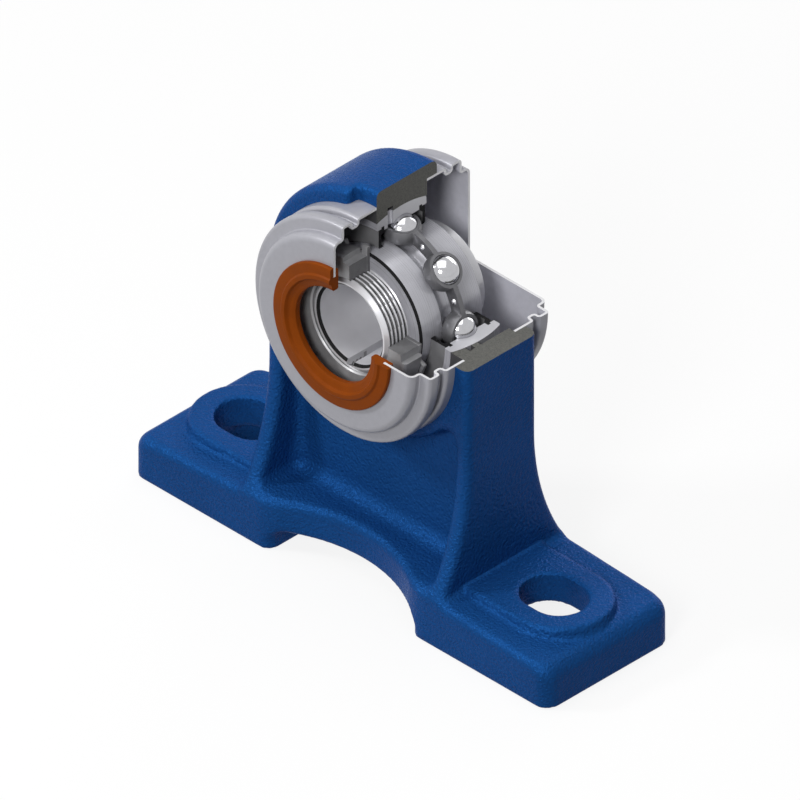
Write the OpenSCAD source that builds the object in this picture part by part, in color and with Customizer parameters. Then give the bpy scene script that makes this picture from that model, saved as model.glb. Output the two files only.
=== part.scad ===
// Pillow block bearing with a high shaft centre, opened by a quarter section.
// The housing carries a self-aligning ball bearing insert on an adapter sleeve.
// Pressed covers close both sides, and the front one holds the shaft seal.
// The frame: origin on the base between the feet, +X along the base,
// -Y towards the open cover, +Z up. The shaft runs along Y.

/* [Base] */
// Height of the shaft axis above the base
shaft_height = 90; // [86:0.5:100]
// Length of the base over both feet
base_len = 165; // [155:1:175]
// Depth of the base
base_depth = 50; // [46:0.5:54]
// Corner radius of the feet, seen from above
base_corner_r = 4.8; // [2:0.1:7]
// Thickness of a foot where it meets the upright
foot_h = 15.9; // [13:0.1:17]
// Fall of a foot's top towards its end, in degrees
foot_slope = 2.8; // [0:0.1:4]
// Radius at the end of a foot's top
foot_end_r = 6.5; // [3:0.1:8]
// Radius along the long top edges of a foot
foot_edge_r = 2; // [0.5:0.1:3]
// Distance between the bolt slots
bolt_spacing = 121; // [118:0.5:124]
// Width of a bolt slot
slot_w = 17; // [12:0.5:18]
// Length of a bolt slot
slot_len = 21; // [19:0.5:23]
// Height of the bolt pads above the base
pad_h = 17.6; // [17.2:0.1:19]
// Width of pad around a slot
pad_border = 7.1; // [4:0.1:8]
// Width of the hollow under the base
relief_w = 56; // [50:1:60]
// Height of the hollow under the base
relief_h = 7; // [5:0.5:9]
// Corner radius of the hollow
relief_r = 3.5; // [2:0.5:4.5]
// Radius of the feet's inner ends, seen from above
relief_end_r = 3; // [1:0.5:4]

/* [Waist and pockets] */
// How far the waist is drawn in on each side
waist_in = 9.2; // [6:0.5:11]
// Length of the waist's curve
waist_len = 57; // [46:1:60]
// Height of the floor between the ribs
floor_h = 17.8; // [16:0.1:22]
// Thickness of the web between the pockets
web_t = 12; // [8:0.5:16]
// Thickness of the side ribs
rib_t = 5.5; // [4:0.1:8]
// How far the ribs' feet stand back from the base's front
rib_setback = 0.3; // [0.3:0.1:2]
// Height at which the ribs start to spread
flare_top = 57; // [48:1:66]
// Radius at the upper pocket corners
pocket_corner_r = 8; // [5:0.5:9]
// Radius at the foot of the web
web_fillet_r = 5; // [2:0.5:6]
// Radius between the web and the ribs
rib_fillet_r = 3; // [1:0.5:5]

/* [Hub] */
// Depth of the hub
hub_depth = 28; // [26:0.5:32]
// Iron around the covers
hub_rim = 4.9; // [3:0.1:7]
// Radius of the hub's outer edges
hub_edge_r = 2.5; // [1:0.1:3]
// Iron between the cover and a pocket
pocket_rim = 3.4; // [2:0.1:4]
// Depth of the insert's seat
seat_depth = 20; // [18:0.1:21]
// Gap between the seat and the insert
seat_gap = 0.05; // [0.02:0.01:0.1]
// Depth of the loading slots beyond the seat
loading_slot_in = 1.5; // [1:0.1:2]
// Where the loading slots start behind the centre plane
loading_slot_start = -1.2; // [-3:0.1:0]
// Distance of the oil groove in front of the centre plane
oil_groove_y = 4.5; // [4:0.1:5]
// Width of the oil groove
oil_groove_w = 2.2; // [1:0.1:3]
// Depth of the oil groove
oil_groove_in = 1.6; // [0.8:0.1:2]
// Width of the notch for lifting out the front cover
pry_notch_w = 15; // [10:0.5:20]

/* [Covers] */
// Outside diameter of the covers
cover_d = 70.2; // [69:0.1:72]
// Sheet thickness of the covers
sheet_t = 0.8; // [0.6:0.1:1]
// Gap between a cover and the housing
cover_gap = 0.05; // [0.02:0.01:0.1]
// Distance from the centre plane to a cover's flat end
cover_reach = 27.1; // [26.5:0.1:29]
// Distance from the centre plane to a cover's shoulder
shoulder_reach = 23.75; // [22.8:0.05:24]
// Distance from the centre plane to the middle of the bead
bead_reach = 18.6; // [18:0.1:19]
// Width of the bead between its sheet centres
bead_w = 2.6; // [2.4:0.1:3]
// Depth of the bead
bead_in = 2; // [1:0.1:2.4]
// Height of the shoulder
shoulder_in = 4.2; // [3:0.1:5]
// Bend radius of the sheet, at its middle
bend_r = 0.85; // [0.7:0.05:1]
// Bend radius at the flat end
end_bend_r = 1.8; // [1:0.1:2.2]

/* [Shaft seal] */
// Diameter of the hole in the front cover
cover_hole_d = 39.2; // [38:0.1:41]
// Outside diameter of the seal's front flange
seal_flange_d = 45.8; // [44:0.1:48]
// Outside diameter of the seal's inner flange
seal_back_d = 43.8; // [42:0.1:46]
// Thickness of the seal's front flange
seal_flange_t = 1.3; // [1:0.1:2]
// Thickness of the seal's inner flange
seal_back_t = 1.1; // [0.8:0.1:1.5]
// Opening of the seal's lip
seal_lip_d = 30; // [26:0.1:32]
// Height of the ring on the seal's front
seal_ring_t = 0.5; // [0.2:0.1:0.8]
// Width of that ring's top
seal_ring_w = 1.2; // [0.8:0.1:1.6]
// Height of each step between the ring and the lip
seal_step = 0.4; // [0.2:0.1:0.5]
// Width of the slope in front of the lip
seal_lip_w = 0.9; // [0.5:0.1:1.2]
// Gap between the seal's groove and the edge of the cover's hole
seal_fit = 0.03; // [0.02:0.01:0.06]
// Chamfer on the flange's edge and behind the lip
seal_chamfer = 0.4; // [0.2:0.1:0.5]

/* [Bearing insert] */
// Outside diameter of the spherical outer ring
insert_d = 62; // [61:0.1:63]
// Width of the outer ring
outer_w = 19.6; // [19:0.1:19.8]
// Diameter of a ball
ball_d = 9.525; // [9:0.025:9.6]
// Diameter of the circle on which the balls run
pitch_d = 46; // [45.6:0.1:46.4]
// Gap between a ball and its races
ball_gap = 0.03; // [0.01:0.01:0.08]
// Groove radius as a share of the ball diameter
groove_share = 0.52; // [0.515:0.005:0.53]
// Bore of the outer ring beside the balls
outer_shoulder_d = 52; // [51.6:0.1:52.6]
// Diameter of the inner ring beside the balls
inner_shoulder_d = 40.8; // [40:0.1:41.2]
// Distance from the centre plane to the inner ring's front face
inner_front = 12.6; // [11:0.1:13]
// Distance from the centre plane to the inner ring's rear face
inner_rear = 12; // [11:0.1:14]
// Chamfer on the inner ring's outer edges
inner_chamfer = 0.7; // [0.3:0.1:0.8]
// Diameter of the oil hole in the outer ring
oil_hole_d = 2.2; // [1:0.1:2.6]

/* [Bearing seals] */
// Distance from the centre plane to a seal's outer face
bseal_reach = 9.2; // [8.9:0.1:9.4]
// Thickness of a seal's wall
bseal_t = 1; // [0.8:0.1:1.2]
// Distance from the centre plane to the seal groove's inner side
bseal_groove_y = 6.9; // [6.7:0.1:7]
// Width of the seal groove
bseal_groove_w = 1.2; // [1:0.1:1.3]
// Depth of the seal groove
bseal_groove_in = 1.4; // [1:0.1:1.6]
// Bore of the outer ring outside the seals
bseal_lip_d = 53.6; // [53.2:0.1:54]
// Width of the seal's bead
bseal_bead_w = 1.6; // [1.4:0.1:1.9]
// Width over which the seal thickens towards its lip
bseal_lip_w = 1.2; // [0.8:0.1:1.6]
// Chamfer on the seal's lip
bseal_chamfer = 0.3; // [0.1:0.1:0.5]
// Gap between a seal's lip and the inner ring
bseal_gap = 0.06; // [0.03:0.01:0.1]
// Gap between a seal and the outer ring
bseal_fit = 0.04; // [0.02:0.01:0.06]

/* [Cage] */
// How far the cage reaches inside the circle on which the balls run
cage_inwards = 1.9; // [1.6:0.05:2.1]
// How far the cage reaches outside that circle
cage_outwards = 2.2; // [1.8:0.05:2.4]
// Sheet thickness of the cage
cage_t = 0.8; // [0.6:0.05:0.9]
// Gap between a ball and its pocket
pocket_gap = 0.1; // [0.05:0.01:0.15]
// Diameter of the rivets
rivet_d = 1.3; // [1:0.1:1.6]
// Diameter of the rivet heads
rivet_head_d = 2.2; // [1.8:0.1:2.6]
// Height of the rivet heads
rivet_head_h = 0.6; // [0.4:0.05:0.8]

/* [Adapter sleeve and nut] */
// Shaft diameter, the bore of the sleeve
bore_d = 25; // [24:0.1:26]
// Thread diameter of the sleeve
thread_d = 30; // [29.5:0.1:30.5]
// Length of the sleeve
sleeve_len = 37.9; // [36:0.1:40]
// Length over which the sleeve's diameter grows by one
taper_len = 12; // [10:0.5:15]
// Width of the slit in the sleeve
slit_w = 2.6; // [2:0.1:3]
// Chamfer in the mouth of the bore
bore_chamfer = 1.2; // [0.5:0.1:1.4]
// Chamfer at the start of the thread
thread_chamfer = 0.4; // [0.2:0.1:0.6]
// Outside diameter of the locknut
nut_d = 45; // [43:0.1:47]
// Width of the locknut
nut_w = 7; // [6:0.1:8]
// Width of the nut's slots
nut_slot_w = 5; // [4:0.1:6]
// Depth of the nut's slots
nut_slot_in = 2; // [1:0.1:3]
// Chamfer of the nut's outer edges
nut_chamfer = 0.6; // [0.3:0.1:1]
// How far the sleeve's end lies behind the nut's face
sleeve_recess = 0.15; // [0.05:0.05:0.5]
// Thickness of the lock washer
washer_t = 1.25; // [1:0.05:1.5]
// Diameter of the lock washer without its teeth
washer_d = 41.2; // [40:0.1:42]
// Diameter over the washer's teeth
washer_tooth_d = 46.8; // [45:0.1:49]
// Number of washer teeth
washer_teeth = 13; // [11:1:15]
// Width of a washer tooth
washer_tooth_w = 4.2; // [3:0.1:4.6]
// How far the washer's tongue reaches into the sleeve's slit
washer_tongue_in = 1.7; // [1:0.1:2]
// Gap between sleeve, nut, washer and ring
sleeve_gap = 0.03; // [0.02:0.01:0.05]

/* [Hidden] */
$fn = 96;

// As many balls as the list of nodes holds
ball_count = 8;

// A cutter reaches this far past what it cuts
past = 1;
// Larger than anything that the section plane cuts
far = 200;

hub_r = cover_d / 2 + hub_rim;
half_depth = base_depth / 2;
half_hub = hub_depth / 2;
half_seat = seat_depth / 2;
seat_r = insert_d / 2 + seat_gap;
rib_x = hub_r - rib_t;
pocket_r = cover_d / 2 + pocket_rim;
bolt_x = bolt_spacing / 2;
slot_r = slot_w / 2;
slot_end_x = slot_len / 2 - slot_r;
pad_r = slot_r + pad_border;
rib_foot_y = half_depth - rib_setback;
// The rib's front is an arc, upright at flare_top and ending near the base's front edge
flare_in = rib_foot_y - half_hub;
flare_r = (pow(flare_top - floor_h, 2) + pow(flare_in, 2)) / (2 * flare_in);
// The waist is an arc through the feet's front edge
waist_r = (pow(waist_len / 2, 2) + pow(waist_in, 2)) / (2 * waist_in);

ball_r = ball_d / 2;
pitch_r = pitch_d / 2;
race_r = ball_d * groove_share;
outer_race_c = pitch_r + ball_r + ball_gap - race_r;
inner_race_c = pitch_r - ball_r - ball_gap + race_r;
ball_step = 360 / ball_count;
cage_in_r = pitch_r - cage_inwards;
cage_out_r = pitch_r + cage_outwards;

washer_y = -inner_front - washer_t;
nut_y = washer_y - nut_w;
sleeve_y = nut_y + sleeve_recess;
function sleeve_r(y) = thread_d / 2 + max(0, y + inner_front) / taper_len / 2;

// Turns a profile, drawn as radius and distance along the shaft, round the shaft axis
module round_shaft() {
    translate([0, 0, shaft_height]) rotate([-90, 0, 0]) rotate_extrude() children();
}

// Puts a piece on the shaft axis
module on_shaft() {
    translate([0, 0, shaft_height]) children();
}

// A cylinder along the shaft between two distances from the centre plane
module shaft_cylinder(r, y0, y1) {
    translate([0, y0, shaft_height]) rotate([-90, 0, 0]) cylinder(r = r, h = y1 - y0);
}

// Takes away the quarter above the shaft on the right
module sectioned() {
    difference() {
        children();
        translate([0, -far / 2, shaft_height]) cube([far, far, far]);
    }
}

module both_sides() {
    children();
    mirror([1, 0, 0]) children();
}

module front_and_rear() {
    children();
    mirror([0, 1, 0]) children();
}

// What rounds a corner at the origin to radius r, cut away outside or filled in inside.
// It reaches past both faces of the corner.
module corner(r) {
    difference() {
        translate([-past, -past]) square(r + past);
        translate([r, r]) circle(r);
    }
}

// Places an outline drawn in width and height upright, with a depth along Y
module upright_extrude(y0, y1) {
    translate([0, y1, 0]) rotate([90, 0, 0]) linear_extrude(y1 - y0) children();
}

// Places an outline drawn in depth and height along X
module lengthwise_extrude(x0, x1) {
    translate([x0, 0, 0]) rotate([90, 0, 90]) linear_extrude(x1 - x0) children();
}

module rounded_plan() {
    r = base_corner_r;
    square([base_len - 2 * r, base_depth], center = true);
    square([base_len, base_depth - 2 * r], center = true);
    for (x = [-1, 1], y = [-1, 1])
        translate([x * (base_len / 2 - r), y * (half_depth - r)]) circle(r);
}

// Elevation of one foot: sloping top, round end
module foot_elevation() {
    cx = base_len / 2 - foot_end_r;
    cz = foot_h - (cx - hub_r) * tan(foot_slope) - foot_end_r / cos(foot_slope);
    translate([cx, cz]) circle(foot_end_r);
    polygon([
        [0, 0],
        [base_len / 2, 0],
        [base_len / 2, cz],
        [cx, cz],
        [cx + foot_end_r * sin(foot_slope), cz + foot_end_r * cos(foot_slope)],
        [hub_r, foot_h],
        [0, foot_h]
    ]);
}

// Section of a foot with its long edges rounded, the top at height 0
module foot_section() {
    r = foot_edge_r;
    translate([-half_depth, -far]) square([base_depth, far - r]);
    translate([r - half_depth, -far]) square([base_depth - 2 * r, far]);
    for (y = [-1, 1]) translate([y * (half_depth - r), -r]) circle(r);
}

module foot() {
    intersection() {
        linear_extrude(foot_h) rounded_plan();
        upright_extrude(-half_depth, half_depth) foot_elevation();
        translate([hub_r, 0, foot_h]) rotate([0, foot_slope, 0])
            lengthwise_extrude(-hub_r, base_len) foot_section();
    }
}

// Raised pad round a bolt slot, running into the upright
module bolt_pad() {
    translate([0, 0, past]) linear_extrude(pad_h - past) {
        translate([bolt_x + slot_end_x, 0]) circle(pad_r);
        translate([rib_x, -pad_r]) square([bolt_x + slot_end_x - rib_x, 2 * pad_r]);
    }
}

module bolt_slot() {
    translate([bolt_x, 0, -past]) linear_extrude(pad_h + 2 * past) {
        square([2 * slot_end_x, slot_w], center = true);
        for (x = [-1, 1]) translate([x * slot_end_x, 0]) circle(slot_r);
    }
}

// Side view of the upright, spreading towards the base's front and rear
module upright_section() {
    difference() {
        translate([-rib_foot_y, past]) square([2 * rib_foot_y, shaft_height - past]);
        for (y = [-1, 1]) translate([y * (half_hub + flare_r), flare_top]) circle(flare_r, $fn = 360);
        translate([half_hub, flare_top]) square([far, far]);
        translate([-half_hub - far, flare_top]) square([far, far]);
    }
}

// Rounds the four long edges of the upright, down the spread of the ribs
module upright_edge_cut() {
    both_sides() front_and_rear() {
        translate([hub_r, -half_hub, flare_top]) mirror([1, 0, 0])
            linear_extrude(shaft_height - flare_top) corner(hub_edge_r);
        intersection() {
            translate([hub_r, -half_hub - flare_r, flare_top]) rotate([0, -90, 0])
                rotate_extrude($fn = 360) translate([flare_r, 0]) corner(hub_edge_r);
            translate([0, -far, 0]) cube([far, far, flare_top]);
        }
    }
}

module hub_profile() {
    r = hub_edge_r;
    translate([0, -half_hub]) square([hub_r - r, hub_depth]);
    translate([0, r - half_hub]) square([hub_r, hub_depth - 2 * r]);
    for (y = [-1, 1]) translate([hub_r - r, y * (half_hub - r)]) circle(r);
}

// Outline of a pocket: between the ribs, under the hub, with round corners
module pocket_outline() {
    r = pocket_corner_r;
    cx = rib_x - r;
    cz = -sqrt(pow(pocket_r + r, 2) - pow(cx, 2));
    touch = [cx, cz] * pocket_r / (pocket_r + r);
    difference() {
        translate([-rib_x, floor_h]) square([2 * rib_x, shaft_height - floor_h]);
        translate([0, shaft_height]) {
            circle(pocket_r);
            for (side = [0, 1]) mirror([side, 0]) difference() {
                polygon([touch, [touch[0], 0], [hub_r, 0], [hub_r, cz], [cx, cz]]);
                translate([cx, cz]) circle(r);
            }
        }
        for (side = [0, 1]) mirror([side, 0])
            translate([rib_x, floor_h]) mirror([1, 0]) corner(rib_fillet_r);
    }
}

module pocket_fillets() {
    lengthwise_extrude(-rib_x - past, rib_x + past)
        translate([-web_t / 2, floor_h]) mirror([1, 0]) corner(web_fillet_r);
    both_sides() translate([rib_x, -web_t / 2, floor_h - past]) mirror([1, 0, 0]) mirror([0, 1, 0])
        linear_extrude(shaft_height - floor_h) corner(rib_fillet_r);
}

// Hollow under the base, round at its upper corners and at the feet's inner ends
module base_hollow() {
    upright_extrude(-far / 2, far / 2) {
        translate([-relief_w / 2, -past]) square([relief_w, relief_h - relief_r + past]);
        translate([relief_r - relief_w / 2, -past]) square([relief_w - 2 * relief_r, relief_h + past]);
        for (x = [-1, 1]) translate([x * (relief_w / 2 - relief_r), relief_h - relief_r]) circle(relief_r);
    }
    both_sides() front_and_rear() translate([relief_w / 2, half_depth, -past]) mirror([0, 1, 0])
        linear_extrude(relief_h - relief_r + past) corner(relief_end_r);
}

module casting() {
    difference() {
        union() {
            both_sides() foot();
            difference() {
                union() {
                    lengthwise_extrude(-hub_r, hub_r) upright_section();
                    round_shaft() hub_profile();
                }
                upright_edge_cut();
                front_and_rear() upright_extrude(-far, -web_t / 2) pocket_outline();
            }
            front_and_rear() pocket_fillets();
            both_sides() bolt_pad();
        }
        both_sides() bolt_slot();
        front_and_rear() translate([0, waist_in - half_depth - waist_r, -past])
            cylinder(r = waist_r, h = floor_h + 2 * past, $fn = 360);
        base_hollow();
    }
}

// Everything that is machined into the hub
module hub_machining() {
    on_shaft() sphere(seat_r);
    shaft_cylinder(cover_d / 2 + cover_gap, half_seat, half_hub + past);
    shaft_cylinder(cover_d / 2 + cover_gap, -half_hub - past, -half_seat);
    // Loading slots, open to the rear, through which the insert is swung in
    intersection() {
        shaft_cylinder(seat_r + loading_slot_in, loading_slot_start, half_hub + past);
        translate([-far / 2, -far / 2, shaft_height - outer_w / 2 - cover_gap])
            cube([far, far, outer_w + 2 * cover_gap]);
    }
    shaft_cylinder(seat_r + oil_groove_in, -oil_groove_y - oil_groove_w / 2, -oil_groove_y + oil_groove_w / 2);
    translate([-pry_notch_w / 2, -half_hub - past, shaft_height + seat_r])
        cube([pry_notch_w, half_hub - half_seat + past, hub_r]);
}

module housing() {
    color("royalblue") sectioned() difference() {
        casting();
        hub_machining();
    }
}

function unit(v) = v / norm(v);
function left_of(v) = [-v[1], v[0]];

// Points of the arc of radius r that rounds the corner b between a and c
function corner_arc(a, b, c, r, n) =
    let (
        u = unit(a - b),
        v = unit(c - b),
        half = acos(u * v) / 2,
        centre = b + unit(u + v) * r / sin(half),
        start = b + u * r / tan(half) - centre,
        turn = (180 - 2 * half) * sign(u[1] * v[0] - u[0] * v[1])
    )
    [for (i = [0:n]) centre + [
        start[0] * cos(turn * i / n) - start[1] * sin(turn * i / n),
        start[0] * sin(turn * i / n) + start[1] * cos(turn * i / n)
    ]];

// A path whose inner corners are rounded by the radii given for them
function rounded_path(path, radii, n = 5) = concat(
    [path[0]],
    [for (i = [1:len(path) - 2]) each corner_arc(path[i - 1], path[i], path[i + 1], radii[i - 1], n)],
    [path[len(path) - 1]]
);

// Direction in which point i of a path is pushed to offset the path by one
function push(path, i) =
    let (
        before = i == 0 ? path[1] - path[0] : path[i] - path[i - 1],
        after = i == len(path) - 1 ? before : path[i + 1] - path[i],
        m = left_of(unit(unit(before) + unit(after)))
    )
    m / (m * left_of(unit(before)));

// Closed outline of a sheet of thickness t whose middle follows the path
function sheet_outline(path, t) = concat(
    [for (i = [0:len(path) - 1]) path[i] + push(path, i) * t / 2],
    [for (i = [len(path) - 1:-1:0]) path[i] - push(path, i) * t / 2]
);

// Profile of a pressed cover, as radius and distance from the centre plane, down to radius end_r
module cover_profile(end_r) {
    r = cover_d / 2 - sheet_t / 2;
    path = [
        [r, half_seat],
        [r, bead_reach - bead_w / 2],
        [r - bead_in, bead_reach - bead_w / 2],
        [r - bead_in, bead_reach + bead_w / 2],
        [r, bead_reach + bead_w / 2],
        [r, shoulder_reach - sheet_t / 2],
        [r - shoulder_in, shoulder_reach - sheet_t / 2],
        [r - shoulder_in, cover_reach - sheet_t / 2],
        [end_r, cover_reach - sheet_t / 2]
    ];
    radii = [bend_r, bend_r, bend_r, bend_r, bend_r, bend_r, end_bend_r];
    polygon(sheet_outline(rounded_path(path, radii), sheet_t));
}

module front_cover() {
    color("silver") sectioned() mirror([0, 1, 0]) round_shaft() cover_profile(cover_hole_d / 2);
}

module rear_cover() {
    color("silver") sectioned() round_shaft() cover_profile(0);
}

// Rubber ring that grips the edge of the front cover's hole
module shaft_seal() {
    front = cover_reach + seal_flange_t;
    back = cover_reach - sheet_t - seal_back_t;
    lip = seal_lip_d / 2;
    ring = cover_hole_d / 2 - seal_fit;
    color("chocolate") sectioned() mirror([0, 1, 0]) round_shaft() polygon([
        [ring, cover_reach],
        [seal_flange_d / 2, cover_reach],
        [seal_flange_d / 2, front - seal_chamfer],
        [seal_flange_d / 2 - seal_chamfer, front],
        [ring, front],
        [ring - seal_ring_t, front + seal_ring_t],
        [ring - seal_ring_t - seal_ring_w, front + seal_ring_t],
        [ring - 2 * seal_ring_t - seal_ring_w, front - seal_step],
        [lip + seal_lip_w, front - 2 * seal_step],
        [lip, front - 3 * seal_step],
        [lip, back + seal_chamfer],
        [lip + seal_chamfer, back],
        [seal_back_d / 2, back],
        [seal_back_d / 2, cover_reach - sheet_t],
        [ring, cover_reach - sheet_t]
    ]);
}

module outer_ring() {
    color("lightsteelblue") sectioned() difference() {
        intersection() {
            on_shaft() sphere(insert_d / 2);
            shaft_cylinder(insert_d, -outer_w / 2, outer_w / 2);
        }
        shaft_cylinder(outer_shoulder_d / 2, -outer_w, outer_w);
        front_and_rear() {
            shaft_cylinder(bseal_lip_d / 2, bseal_groove_y, outer_w);
            shaft_cylinder(outer_shoulder_d / 2 + bseal_groove_in, bseal_groove_y, bseal_groove_y + bseal_groove_w);
        }
        round_shaft() translate([outer_race_c, 0]) circle(race_r);
        // Oil hole, at the top where the section shows it
        translate([0, -oil_groove_y, shaft_height]) cylinder(d = oil_hole_d, h = insert_d);
    }
}

// Rubber seal of the insert: bead in the outer ring's groove, wall and lip
module bearing_seal() {
    groove = outer_shoulder_d / 2 + bseal_groove_in - bseal_fit;
    bead_y = bseal_groove_y + bseal_fit;
    bead_end = bseal_groove_y + bseal_groove_w - bseal_fit;
    wall = bseal_lip_d / 2 - bseal_fit;
    lip = inner_shoulder_d / 2 + bseal_gap;
    sectioned() round_shaft() polygon([
        [groove, bead_y],
        [groove, bead_end],
        [wall, bead_end],
        [wall, bseal_reach],
        [lip + bseal_chamfer, bseal_reach],
        [lip, bseal_reach - bseal_chamfer],
        [lip, bead_y + bseal_chamfer],
        [lip + bseal_lip_w, bseal_reach - bseal_t],
        [groove - bseal_bead_w - bseal_t, bseal_reach - bseal_t],
        [groove - bseal_bead_w, bead_y]
    ]);
}

module front_bearing_seal() {
    color("dimgray") mirror([0, 1, 0]) bearing_seal();
}

module rear_bearing_seal() {
    color("dimgray") bearing_seal();
}

module inner_ring() {
    r = inner_shoulder_d / 2;
    color("gainsboro") difference() {
        round_shaft() polygon([
            [sleeve_r(-inner_front) + sleeve_gap, -inner_front],
            [r - inner_chamfer, -inner_front],
            [r, inner_chamfer / 2 - inner_front],
            [r, inner_rear - inner_chamfer / 2],
            [r - inner_chamfer, inner_rear],
            [sleeve_r(inner_rear) + sleeve_gap, inner_rear]
        ]);
        round_shaft() translate([inner_race_c, 0]) circle(race_r);
    }
}

module adapter_sleeve() {
    rear = sleeve_y + sleeve_len;
    r = bore_d / 2;
    color("silver") difference() {
        round_shaft() polygon([
            [r, sleeve_y + bore_chamfer / 2],
            [r + bore_chamfer, sleeve_y],
            [thread_d / 2 - thread_chamfer, sleeve_y],
            [thread_d / 2, sleeve_y + thread_chamfer],
            [thread_d / 2, -inner_front],
            [sleeve_r(rear), rear],
            [r, rear]
        ]);
        translate([-slit_w / 2, sleeve_y - past, shaft_height - thread_d])
            cube([slit_w, sleeve_len + 2 * past, thread_d]);
    }
}

module lock_washer() {
    bore = thread_d / 2 + sleeve_gap;
    color("gray") sectioned() {
        difference() {
            union() {
                shaft_cylinder(washer_d / 2, washer_y, -inner_front);
                for (i = [0:washer_teeth - 1]) on_shaft() rotate([0, i * 360 / washer_teeth, 0])
                    translate([-washer_tooth_w / 2, washer_y, 0])
                        cube([washer_tooth_w, washer_t, washer_tooth_d / 2]);
            }
            shaft_cylinder(bore, washer_y - past, -inner_front + past);
        }
        // Tongue in the sleeve's slit
        translate([sleeve_gap - slit_w / 2, washer_y, shaft_height - bore - past])
            cube([slit_w - 2 * sleeve_gap, washer_t, past + washer_tongue_in]);
    }
}

module locknut() {
    r = nut_d / 2;
    color("slategray") sectioned() difference() {
        round_shaft() polygon([
            [thread_d / 2 + sleeve_gap, nut_y],
            [r - nut_chamfer, nut_y],
            [r, nut_y + nut_chamfer],
            [r, washer_y - nut_chamfer],
            [r - nut_chamfer, washer_y],
            [thread_d / 2 + sleeve_gap, washer_y]
        ]);
        for (a = [0:90:270]) on_shaft() rotate([0, a, 0])
            translate([-nut_slot_w / 2, nut_y - past, r - nut_slot_in])
                cube([nut_slot_w, nut_w + 2 * past, r]);
    }
}

// Puts a child at each ball's place, the first at the top and on clockwise from the front
module at_balls(turn = 0) {
    for (i = [0:ball_count - 1]) on_shaft() rotate([0, i * ball_step + turn, 0])
        translate([0, 0, pitch_r]) children();
}

// Half of the ribbon cage, behind the centre plane
module cage_half() {
    pocket = ball_r + pocket_gap;
    difference() {
        intersection() {
            union() {
                shaft_cylinder(2 * cage_out_r, -past, cage_t);
                at_balls() sphere(pocket + cage_t);
            }
            difference() {
                shaft_cylinder(cage_out_r, 0, ball_d);
                shaft_cylinder(cage_in_r, -past, ball_d + past);
            }
        }
        at_balls() sphere(pocket);
        at_balls(ball_step / 2) rotate([90, 0, 0])
            cylinder(d = rivet_d + 2 * sleeve_gap, h = 4 * cage_t, center = true);
    }
}

module cage_rear_half() {
    color("dimgray") cage_half();
}

module cage_front_half() {
    color("dimgray") mirror([0, 1, 0]) cage_half();
}

module cage_rivets() {
    // A rivet head is a cap of this sphere
    head_r = (pow(rivet_head_d / 2, 2) + pow(rivet_head_h, 2)) / (2 * rivet_head_h);
    color("lightgray") at_balls(ball_step / 2) {
        rotate([90, 0, 0]) cylinder(d = rivet_d, h = 2 * cage_t, center = true);
        front_and_rear() intersection() {
            translate([0, cage_t + rivet_head_h - head_r, 0]) sphere(head_r, $fn = 48);
            translate([-rivet_head_d, cage_t, -rivet_head_d])
                cube([2 * rivet_head_d, rivet_head_h, 2 * rivet_head_d]);
        }
    }
}

module ball(number) {
    color("whitesmoke") on_shaft() rotate([0, (number - 1) * ball_step, 0])
        translate([0, 0, pitch_r]) sphere(ball_r);
}

housing();
front_cover();
shaft_seal();
rear_cover();
outer_ring();
front_bearing_seal();
rear_bearing_seal();
inner_ring();
adapter_sleeve();
lock_washer();
locknut();
cage_front_half();
cage_rear_half();
cage_rivets();
ball(1);  // ball_1
ball(2);  // ball_2
ball(3);  // ball_3
ball(4);  // ball_4
ball(5);  // ball_5
ball(6);  // ball_6
ball(7);  // ball_7
ball(8);  // ball_8
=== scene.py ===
"""Pillow block bearing, opened by a quarter section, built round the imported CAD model.

The iron housing is a painted casting with soft edges. Its quarter above the shaft on the right is cut away
and shows two sheet covers, a rubber shaft seal and a ball bearing insert on an adapter sleeve with its nut.
X runs along the base, -Y along the shaft towards the open cover, and Z is up. Shapes are worked out in
millimetres and kept in metres.
"""

import contextlib
import math

import bmesh
import bpy
import numpy as np
import openvdb
from bpy.props import FloatProperty, FloatVectorProperty, PointerProperty
from mathutils import Matrix, Vector


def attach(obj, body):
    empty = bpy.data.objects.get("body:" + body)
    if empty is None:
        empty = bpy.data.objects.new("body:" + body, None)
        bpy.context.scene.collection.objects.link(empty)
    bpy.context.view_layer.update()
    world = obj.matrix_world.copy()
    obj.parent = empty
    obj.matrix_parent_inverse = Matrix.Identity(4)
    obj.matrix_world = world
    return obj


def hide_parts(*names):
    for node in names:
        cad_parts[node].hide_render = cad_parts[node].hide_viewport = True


bl_info = {
    "name": "Pillow block bearing",
    "version": (1, 0, 0),
    "blender": (4, 5, 0),
    "location": "View3D > Sidebar > Bearing",
    "description": "Builds a sectioned pillow block bearing piece by piece",
    "category": "Add Mesh",
}

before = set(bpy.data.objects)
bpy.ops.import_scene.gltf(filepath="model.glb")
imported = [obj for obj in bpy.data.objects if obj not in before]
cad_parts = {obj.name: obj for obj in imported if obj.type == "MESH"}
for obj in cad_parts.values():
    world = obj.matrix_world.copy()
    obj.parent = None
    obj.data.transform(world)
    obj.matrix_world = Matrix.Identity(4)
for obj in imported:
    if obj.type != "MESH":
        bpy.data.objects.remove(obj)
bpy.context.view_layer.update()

MM = 0.001

# Sizes of the real piece that every builder shares, in millimetres
SHAFT_HEIGHT = 90.0
HUB_R = 40.0
HALF_HUB = 14.0
HALF_SEAT = 10.0
SEAT_R = 31.05
COVER_R = 35.1
PITCH_R = 23.0
BALL_R = 4.7625
BALL_COUNT = 8
RACE_R = 4.953
OUTER_RACE_C = 22.8395
INNER_RACE_C = 23.1605
INNER_FRONT = 12.6
THREAD_R = 15.0
WASHER_Y = -13.85
NUT_Y = -20.85
# Play between a thread or taper and what sits on it
PLAY = 0.03
# How much the sleeve's radius grows along its taper
TAPER = 1 / 24

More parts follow.
